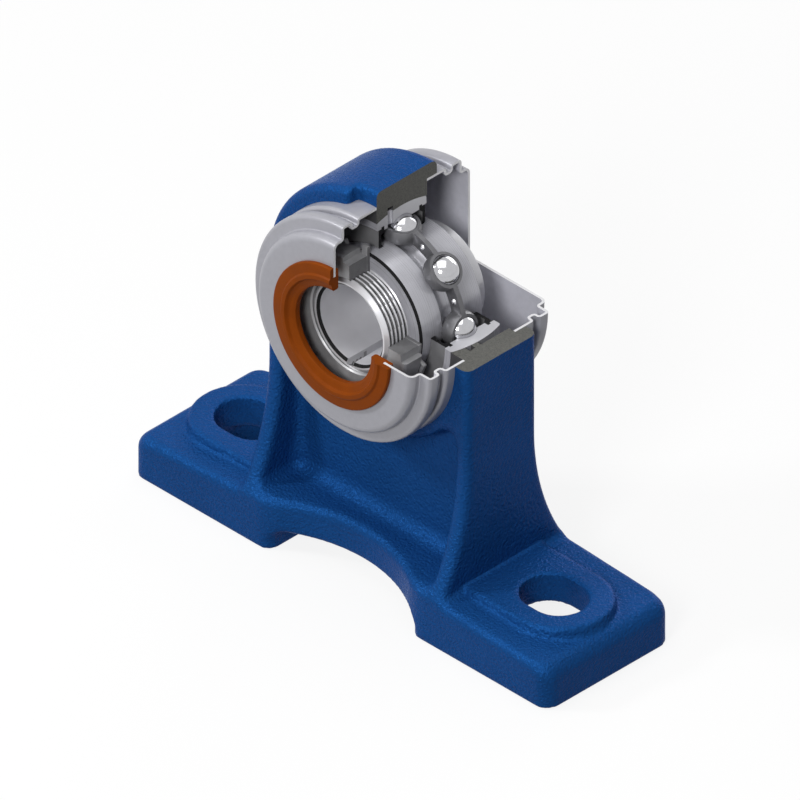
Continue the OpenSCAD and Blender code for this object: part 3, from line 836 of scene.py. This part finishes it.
class BEARING_OT_shaft_seal(bpy.types.Operator):
    """Mould the rubber ring in the front cover's hole"""

    bl_idname = "bearing.shaft_seal"
    bl_label = "Shaft seal"

    def execute(self, context):
        front, back, hole = 28.4, 25.2, 19.6
        corners = [
            (hole, 27.1), (22.9, 27.1), (22.9, front), (hole + 0.1, front), (hole - 0.4, front + 0.5),
            (17.9, front + 0.5), (17.4, front - 0.4), (15.9, front - 0.8), (15.0, front - 1.2),
            (15.0, back + 0.4), (15.4, back), (21.9, back), (21.9, 26.3), (hole, 26.3),
        ]
        radii = [0, 0.1, 0.4, 0.25, 0.2, 0.2, 0.3, 0.3, 0.3, 0.1, 0.1, 0.3, 0.1, 0]
        outline = mirrored(rounded_outline(corners, radii, 4))
        piece = new_piece("shaft_seal_ring", turned_mesh("shaft_seal", outline), ("orange rubber",))
        smooth(piece.data, 30)
        place_piece(piece, "housing", "seal_orange", "shaft_seal")
        return {"FINISHED"}


class BEARING_OT_outer_ring(bpy.types.Operator):
    """Grind the spherical outer ring, with its race, seal grooves and oil hole"""

    bl_idname = "bearing.outer_ring"
    bl_label = "Outer ring"

    def execute(self, context):
        half, shoulder, lip = 9.8, 26.0, 26.8
        groove_y, groove_end, groove_r = 6.9, 8.1, 27.4
        race_y = math.sqrt(RACE_R**2 - (shoulder - OUTER_RACE_C) ** 2)
        race = arc_profile(OUTER_RACE_C, RACE_R, -race_y, race_y, 28)
        seat = arc_profile(0, 31.0, -half, half, 40)
        rear = [(shoulder, groove_y), (groove_r, groove_y), (groove_r, groove_end), (lip, groove_end),
                (lip, half - 0.15), (lip + 0.15, half), (seat[-1][0] - 0.35, half)]
        seat = [p for p in seat if abs(p[1]) < half - 0.3]
        profile = mirrored(rear)[::-1] + race + rear + seat[::-1]
        mesh = turned_mesh("outer_ring", profile, 270)
        piece = new_piece("outer_ring_steel", mesh, ("ring steel", "ring section"))
        # The oil hole, over the seat's groove
        hole_r, hole_y, sides = 1.1, -4.5, 32
        angles = [2 * math.pi * i / sides for i in range(sides)]
        circle = [(hole_r * math.cos(a), hole_y + hole_r * math.sin(a)) for a in angles]
        points = [(x, y, z) for z in (110.0, 130.0) for x, y in circle]
        cut_away(piece, new_piece("hole", closed_mesh("hole", points, row_faces(2, sides))))
        mark_section(piece.data)
        smooth(piece.data, 30)
        place_piece(piece, "outer_ring", "ring_steel", "outer_ring")
        return {"FINISHED"}


class BEARING_OT_bearing_seals(bpy.types.Operator):
    """Mould the two rubber seals in the outer ring's grooves"""

    bl_idname = "bearing.bearing_seals"
    bl_label = "Bearing seals"

    def execute(self, context):
        corners = [(27.36, 6.94), (27.36, 8.06), (26.76, 8.06), (26.76, 9.2), (20.76, 9.2), (20.46, 8.9),
                   (20.46, 7.24), (21.66, 8.2), (24.76, 8.2), (25.76, 6.94)]
        outline = rounded_outline(corners, [0.15, 0.15, 0.05, 0.2, 0.1, 0.1, 0.1, 0.3, 0.3, 0.15], 3)
        for side, profile in (("front", mirrored(outline)), ("rear", outline)):
            name = side + "_bearing_seal"
            piece = new_piece(name + "_ring", turned_mesh(name, profile), ("grey rubber", "black rubber"))
            mark_section(piece.data)
            smooth(piece.data, 30)
            place_piece(piece, "outer_ring", "seal_black", name)
        return {"FINISHED"}


class BEARING_OT_inner_ring(bpy.types.Operator):
    """Grind the inner ring with its race and taper bore"""

    bl_idname = "bearing.inner_ring"
    bl_label = "Inner ring"

    def execute(self, context):
        r, rear = 20.4, 12.0
        race_y = math.sqrt(RACE_R**2 - (INNER_RACE_C - r) ** 2)
        race = arc_profile(INNER_RACE_C, RACE_R, -race_y, race_y, 28, outwards=False)
        taper = THREAD_R + PLAY
        taper_rear = taper + (rear + INNER_FRONT) * TAPER
        front_corners = corner_points((r - 0.8, -INNER_FRONT), (r, -INNER_FRONT + 0.55), (r, 0), 0.2, 3)
        rear_corners = corner_points((r, 0), (r, rear - 0.55), (r - 0.8, rear), 0.2, 3)
        profile = [(taper + 0.3, -INNER_FRONT), (r - 0.8, -INNER_FRONT)] + front_corners
        profile += [(r, -race_y - 0.25), (r - 0.12, -race_y - 0.12)]
        profile += race[1:-1]
        profile += [(r - 0.12, race_y + 0.12), (r, race_y + 0.25)]
        profile += rear_corners + [(r - 0.8, rear), (taper_rear + 0.3, rear)]
        profile += [(taper_rear - 0.3 * TAPER, rear - 0.3), (taper, -INNER_FRONT + 0.3)]
        mesh = turned_mesh("inner_ring", profile, 288, whole=True)
        piece = new_piece("inner_ring_steel", mesh, ("ring steel", "black edge"))
        radius, along = distances(mesh)
        # The chamfers at both ends of the outside are painted nearly black, as painted shade along the edges
        edges = (radius > r - 0.75) & ((along < -INNER_FRONT + 0.58) | (along > rear - 0.58))
        give_slots(mesh, edges)
        smooth(mesh, 25)
        place_piece(piece, "inner", "ring_steel", "inner_ring")
        return {"FINISHED"}


class BEARING_OT_sleeve(bpy.types.Operator):
    """Turn the split adapter sleeve and cut its thread"""

    bl_idname = "bearing.sleeve"
    bl_label = "Adapter sleeve"

    def execute(self, context):
        s = context.scene.sleeve
        front, rear, bore, half_slit = -20.7, 17.2, 12.5, 1.3
        wide = THREAD_R + (rear + INNER_FRONT) * TAPER
        start, end = front + 1.0, -INNER_FRONT - 0.1
        per_pitch = 12
        count = int((end - start) / s.pitch * per_pitch)
        thread = [start + (end - start) * i / count for i in range(count + 1)]
        steps = 240
        points = []
        for k in range(steps + 1):
            ring = []
            lead = k / steps
            for y in thread:
                # 1 on a crest, which is flat, and 0 in a root
                phase = (y / s.pitch + lead) % 1.0
                ridge = min(1.0, max(0.0, 1.35 - 2.6 * abs(phase - 0.5)))
                run_in = min(1.0, (y - start) / 0.6)
                ring.append((THREAD_R - s.thread_depth * (1 - ridge) * max(0.35, run_in), y))
            ring += [(THREAD_R - 0.02, -INNER_FRONT + 0.3), (wide - 0.25, rear - 0.25), (wide - 0.5, rear),
                     (bore + 0.3, rear), (bore, rear - 0.3), (bore, front + 0.75), (bore + 0.75, front),
                     (THREAD_R - 1.2, front)]
            for r, y in ring:
                gap = math.asin(half_slit / r)
                a = gap + (2 * math.pi - 2 * gap) * lead
                points.append((-r * math.sin(a), y, SHAFT_HEIGHT - r * math.cos(a)))
        faces = row_faces(steps + 1, len(points) // (steps + 1))
        mesh = closed_mesh("adapter_sleeve", points, faces)
        piece = new_piece("adapter_sleeve_steel", mesh, ("sleeve steel", "black edge", "dark section and thread shade"))
        radius, along = distances(mesh)
        sides = np.empty(len(mesh.polygons), dtype=np.int32)
        mesh.polygons.foreach_get("loop_total", sides)
        # The slit's two faces have many sides and stay bright
        flank = (radius > 14) & (along > start + 0.3) & (along < end) & (sides == 4)
        flank &= radius < THREAD_R - s.thread_depth * 0.2
        # Painted shade: the thread's roots and the bore's front chamfer get the nearly black finish, and the
        # thread's other flanks the dark grey one
        root = flank & (radius < THREAD_R - s.thread_depth * 0.75)
        edge = (radius < bore + 0.7) & (along < front + 0.7) & (sides == 4)
        give_slots(mesh, np.where(root | edge, 1, np.where(flank, 2, 0)))
        smooth(mesh, 35)
        place_piece(piece, "inner", "sleeve_steel", "adapter_sleeve")
        return {"FINISHED"}


class BEARING_OT_lock_washer(bpy.types.Operator):
    """Stamp the toothed lock washer, with its tongue in the sleeve's slit"""

    bl_idname = "bearing.lock_washer"
    bl_label = "Lock washer"

    def execute(self, context):
        teeth, half_w, root, tip, bore = 13, 2.1, 20.6, 23.4, THREAD_R + PLAY
        tongue_w, tongue_r = 1.27, bore - 1.7

        def aim(width, r):
            return math.degrees(math.asin(width / r))

        # Angles in degrees from the top, clockwise from the front, with the outer and inner radius at each
        outer = {}
        for i in range(teeth):
            middle = i * 360 / teeth
            for side in (-1, 1):
                outer[middle + side * (aim(half_w, root) + 0.6)] = root
                outer[middle + side * aim(half_w, root)] = root + 0.15
                outer[middle + side * aim(half_w, tip)] = tip - 0.2
                outer[middle + side * (aim(half_w, tip) - 0.5)] = tip
        inner = {180 - aim(tongue_w, bore): bore, 180 - aim(tongue_w, tongue_r): tongue_r,
                 180 + aim(tongue_w, tongue_r): tongue_r, 180 + aim(tongue_w, bore): bore}
        angles = {a % 360 for a in outer} | set(inner) | {float(a) for a in range(0, 360, 3)}
        angles = sorted(a for a in angles | {90.0, 360.0} if 90 <= a <= 360)
        points = []
        for a in angles:
            t = math.radians(a)
            rim, hole = (np.interp(a, list(r), list(r.values()), period=360) for r in (outer, inner))
            for r, y in ((rim, WASHER_Y), (rim, -INNER_FRONT), (hole, -INNER_FRONT), (hole, WASHER_Y)):
                points.append((r * math.sin(t), y, SHAFT_HEIGHT + r * math.cos(t)))
        mesh = closed_mesh("lock_washer", points, row_faces(len(angles), 4))
        piece = new_piece("lock_washer_plate", mesh, ("dark steel", "dark section and thread shade"))
        bevelled(piece, 0.12, 50)
        mark_section(piece.data)
        smooth(piece.data, 30)
        place_piece(piece, "inner", "nut_steel", "lock_washer")
        return {"FINISHED"}


class BEARING_OT_locknut(bpy.types.Operator):
    """Turn the round nut and mill its slots"""

    bl_idname = "bearing.locknut"
    bl_label = "Locknut"

    def execute(self, context):
        r, slot_w, slot_in, bore = 22.5, 5.0, 2.0, THREAD_R + PLAY
        pitch = context.scene.sleeve.pitch
        corners = [(bore, NUT_Y + 0.5), (bore + 0.5, NUT_Y), (r - 0.6, NUT_Y), (r, NUT_Y + 0.6),
                   (r, WASHER_Y - 0.6), (r - 0.6, WASHER_Y), (bore + 0.3, WASHER_Y), (bore, WASHER_Y - 0.3)]
        outline = rounded_outline(corners, [0.1, 0.1, 0.2, 0.2, 0.2, 0.2, 0.1, 0.1], 3)
        # Threads in the bore, as grooves
        y = WASHER_Y - 0.7
        while y > NUT_Y + 1.2:
            outline += [(bore, y), (bore + 0.5, y - pitch * 0.4), (bore + 0.5, y - pitch * 0.5),
                        (bore, y - pitch * 0.9)]
            y -= pitch
        mesh = turned_mesh("locknut", outline)
        piece = new_piece("locknut_steel", mesh, ("dark steel", "dark section and thread shade"))
        # The four slots
        boxes = []
        half, base, past = slot_w / 2, r - slot_in, r + 5
        for low, high in (((-half, base), (half, past)), ((-half, -past), (half, -base)),
                          ((base, -half), (past, half)), ((-past, -half), (-base, half))):
            low = (low[0], NUT_Y - 1, SHAFT_HEIGHT + low[1])
            high = (high[0], WASHER_Y + 1, SHAFT_HEIGHT + high[1])
            boxes.append(new_piece("slot", box_mesh("slot", low, high)))
        cut_away(piece, *boxes)
        mark_section(piece.data)
        smooth(piece.data, 30)
        place_piece(piece, "inner", "nut_steel", "locknut")
        return {"FINISHED"}


class BEARING_OT_cage(bpy.types.Operator):
    """Press the two halves of the ribbon cage"""

    bl_idname = "bearing.cage"
    bl_label = "Cage"

    def execute(self, context):
        for name in ("cage_front_half", "cage_rear_half"):
            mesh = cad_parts[name].data.copy()
            mesh.materials.clear()
            with work_on(mesh) as work:
                bmesh.ops.remove_doubles(work, verts=work.verts, dist=2e-7)
            piece = new_piece(name + "_sheet", mesh, ("cage steel",))
            smooth(mesh, 28)
            place_piece(piece, "cage", "cage_steel", name)
        return {"FINISHED"}


def rivet_ring_tree():
    """Geometry nodes that set copies of one rivet on a circle round the shaft."""
    tree = bpy.data.node_groups.new("Rivets on a circle", "GeometryNodeTree")
    for name, kind in (("Rivet", "Geometry"), ("Count", "Int"), ("Circle Radius", "Float"), ("Turn", "Float"),
                       ("Shaft Height", "Float"), ("Finish", "Material")):
        tree.interface.new_socket(name=name, in_out="INPUT", socket_type="NodeSocket" + kind)
    tree.interface.new_socket(name="Rivets", in_out="OUTPUT", socket_type="NodeSocketGeometry")

    def add(kind, **values):
        return add_node(tree, kind, values).outputs[0]

    given = add_node(tree, "NodeGroupInput").outputs
    circle = add("GeometryNodeMeshCircle", Vertices=given["Count"], Radius=given["Circle Radius"])
    # The circle lies flat: stand it up across the shaft, turn it and lift it to the shaft
    upright = add("GeometryNodeTransform", Geometry=circle, Rotation=(math.radians(90), 0, 0))
    turn = add("ShaderNodeCombineXYZ", Y=given["Turn"])
    lift = add("ShaderNodeCombineXYZ", Z=given["Shaft Height"])
    places = add("GeometryNodeTransform", Geometry=upright, Rotation=turn, Translation=lift)
    copies = add("GeometryNodeInstanceOnPoints", Points=places, Instance=given["Rivet"])
    real = add("GeometryNodeRealizeInstances", Geometry=copies)
    finished = add("GeometryNodeSetMaterial", Geometry=real, Material=given["Finish"])
    add_node(tree, "NodeGroupOutput", {"Rivets": finished})
    return tree


def socket_id(tree, name):
    """The identifier of a tree's input."""
    for item in tree.interface.items_tree:
        if item.item_type == "SOCKET" and item.in_out == "INPUT" and item.name == name:
            return item.identifier
    raise RuntimeError(f"the tree {tree.name} has no input {name}")


def add_tree(piece, tree, **values):
    """Puts a tree on the piece, its inputs set before it is first evaluated, and makes the result plain."""
    modifier = piece.modifiers.new(tree.name, "NODES")
    modifier.node_group = tree
    for name, value in values.items():
        modifier[socket_id(tree, name.replace("_", " "))] = value
    plain_mesh(piece)


class BEARING_OT_rivets(bpy.types.Operator):
    """Set the rivets that hold the cage's halves together"""

    bl_idname = "bearing.rivets"
    bl_label = "Cage rivets"

    def execute(self, context):
        head, height, shank, sheet = context.scene.insert.rivet_head / 2, 0.6, 0.65, 0.8
        cap_r = (head**2 + height**2) / (2 * height)
        cap = []
        for i in range(9):
            r = head * (1 - i / 8)
            cap.append((r, sheet + height - cap_r + math.sqrt(cap_r**2 - r**2)))
        profile = [(r, -y) for r, y in cap[::-1]] + [(shank, -sheet), (shank, sheet)] + cap
        steps = 28
        points = []
        for k in range(steps):
            a = 2 * math.pi * k / steps
            points += [(r * math.cos(a), y, r * math.sin(a)) for r, y in profile]
        n = len(profile)
        faces = row_faces(steps, n, whole=True, edges=n - 1)
        piece = new_piece("cage_rivet_row", closed_mesh("cage_rivets", points, faces))
        add_tree(piece, rivet_ring_tree(), Count=BALL_COUNT, Circle_Radius=PITCH_R * MM,
                 Turn=math.radians(180 / BALL_COUNT), Shaft_Height=SHAFT_HEIGHT * MM,
                 Finish=finish_of("rivet steel"))
        smooth(piece.data, 40)
        place_piece(piece, "cage", "rivet_steel", "cage_rivets")
        return {"FINISHED"}


class BEARING_OT_balls(bpy.types.Operator):
    """Lap the balls, each on its own body"""

    bl_idname = "bearing.balls"
    bl_label = "Balls"

    def execute(self, context):
        for number in range(BALL_COUNT):
            name = f"ball_{number + 1}"
            a = 2 * math.pi * number / BALL_COUNT
            centre = (PITCH_R * math.sin(a) * MM, 0, (SHAFT_HEIGHT + PITCH_R * math.cos(a)) * MM)
            place = Matrix.Translation(centre)
            mesh = bpy.data.meshes.new(name)
            with work_on(mesh) as work:
                bmesh.ops.create_icosphere(work, subdivisions=5, radius=BALL_R * MM, matrix=place)
            mesh.shade_smooth()
            piece = new_piece(name + "_lapped", mesh, ("ball steel",))
            place_piece(piece, name, "ball_steel", name)
        return {"FINISHED"}


class BEARING_OT_stage(bpy.types.Operator):
    """Lay the pale floor and set the lamps and the camera"""

    bl_idname = "bearing.stage"
    bl_label = "Floor, light and camera"

    def execute(self, context):
        s = context.scene.stage
        self.floor()
        self.lamp("overhead", (-0.1, -0.1, 1.3), 1.2, s.top_light)
        self.lamp("left softbox", (-0.9, -0.9, 0.9), 0.25, s.top_light)
        self.lamp("camera softbox", (0.55, -1.2, 0.95), 0.45, s.front_light)
        self.lamp("rear softbox", (-0.35, 1.35, 0.35), 0.9, s.front_light * 0.55)
        self.sky(context, s.sky)
        self.camera(context, s.view_width)
        context.scene.view_settings.view_transform = "Standard"
        return {"FINISHED"}

    def white_where_seen(self, owner, plain, white, output):
        """Gives the white shader to camera, mirrored and transmitted rays and the plain one to others."""
        path = add_node(owner, "ShaderNodeLightPath").outputs
        seen = path["Is Camera Ray"]
        for ray in ("Is Glossy Ray", "Is Transmission Ray"):
            seen = add_node(owner, "ShaderNodeMath", {0: seen, 1: path[ray]}, operation="MAXIMUM").outputs[0]
        values = {0: seen, 1: plain.outputs[0], 2: white.outputs[0]}
        choice = add_node(owner, "ShaderNodeMixShader", values)
        owner.node_tree.links.new(choice.outputs[0], owner.node_tree.nodes[output].inputs["Surface"])

    def floor(self):
        """A white floor that casts a little grey light back on the piece."""
        mesh = bpy.data.meshes.new("floor")
        reach, low = 2.0, -0.0003
        corners = [(reach * x, reach * y, low) for x, y in ((-1, -1), (1, -1), (1, 1), (-1, 1))]
        mesh.from_pydata(corners, [], [(0, 1, 2, 3)])
        piece = bpy.data.objects.new("floor", mesh)
        bpy.context.scene.collection.objects.link(piece)
        material = bpy.data.materials.new("pale floor")
        material.use_nodes = True
        material.node_tree.nodes.remove(material.node_tree.nodes["Principled BSDF"])
        matt = add_node(material, "ShaderNodeBsdfDiffuse", {"Color": (0.2, 0.2, 0.2, 1)})
        pale = add_node(material, "ShaderNodeBsdfDiffuse", {"Color": (0.9, 0.9, 0.9, 1)})
        glow = add_node(material, "ShaderNodeEmission", {"Strength": 1.0})
        values = {0: 0.85, 1: pale.outputs[0], 2: glow.outputs[0]}
        white = add_node(material, "ShaderNodeMixShader", values)
        self.white_where_seen(material, matt, white, "Material Output")
        mesh.materials.append(material)

    def lamp(self, name, place, size, power):
        """A square lamp that looks at the piece."""
        light = bpy.data.lights.new(name, "AREA")
        light.shape = "SQUARE"
        light.size = size
        light.energy = power
        lamp = bpy.data.objects.new(name, light)
        lamp.location = place
        aim = Vector((0, 0, 0.05)) - Vector(place)
        lamp.rotation_euler = aim.to_track_quat("-Z", "Y").to_euler()
        bpy.context.scene.collection.objects.link(lamp)

    def sky(self, context, strength):
        """Dim light from all round, behind a white surround."""
        world = bpy.data.worlds.new("soft white room")
        context.scene.world = world
        world.use_nodes = True
        dim = world.node_tree.nodes["Background"]
        dim.inputs["Color"].default_value = (1, 1, 1, 1)
        dim.inputs["Strength"].default_value = strength
        white = add_node(world, "ShaderNodeBackground", {"Color": (1, 1, 1, 1), "Strength": 1.0})
        self.white_where_seen(world, dim, white, "World Output")

    def camera(self, context, width):
        """An isometric camera in front, to the right and above."""
        lens = bpy.data.cameras.new("camera")
        lens.type = "ORTHO"
        lens.ortho_scale = width
        camera = bpy.data.objects.new("camera", lens)
        right = Vector((1, 1, 0)).normalized()
        back = Vector((1, -1, 1)).normalized()
        up = back.cross(right)
        # The middle of the picture
        centre = Vector((11.65, -12.36, 65.99)) * MM
        turn = Matrix((right, up, back)).transposed().to_4x4()
        camera.matrix_world = Matrix.Translation(centre + back * 1.0) @ turn
        context.scene.collection.objects.link(camera)
        context.scene.camera = camera


OPERATORS = (BEARING_OT_housing, BEARING_OT_covers, BEARING_OT_shaft_seal, BEARING_OT_outer_ring,
             BEARING_OT_bearing_seals, BEARING_OT_inner_ring, BEARING_OT_sleeve, BEARING_OT_lock_washer,
             BEARING_OT_locknut, BEARING_OT_cage, BEARING_OT_rivets, BEARING_OT_balls, BEARING_OT_stage)

SETTINGS = {"casting": CastingSettings, "covers": CoverSettings, "seals": SealSettings,
            "insert": InsertSettings, "sleeve": SleeveSettings, "stage": StageSettings}


class BEARING_PT_panel(bpy.types.Panel):
    """Lists the settings and the builders"""

    bl_label = "Pillow block bearing"
    bl_space_type = "VIEW_3D"
    bl_region_type = "UI"
    bl_category = "Bearing"

    def draw(self, context):
        for name, group in SETTINGS.items():
            box = self.layout.box()
            box.label(text=name.capitalize())
            for prop in group.__annotations__:
                box.prop(getattr(context.scene, name), prop)
        for operator in OPERATORS:
            self.layout.operator(operator.bl_idname)


def register():
    for kind in (*SETTINGS.values(), *OPERATORS, BEARING_PT_panel):
        bpy.utils.register_class(kind)
    for name, group in SETTINGS.items():
        setattr(bpy.types.Scene, name, PointerProperty(type=group))


def unregister():
    for name in SETTINGS:
        delattr(bpy.types.Scene, name)
    for kind in (BEARING_PT_panel, *reversed(OPERATORS), *reversed(SETTINGS.values())):
        bpy.utils.unregister_class(kind)


def main():
    """Builds every piece in order."""
    register()
    for operator in OPERATORS:
        module, name = operator.bl_idname.split(".")
        getattr(getattr(bpy.ops, module), name)()


if __name__ == "__main__":
    main()
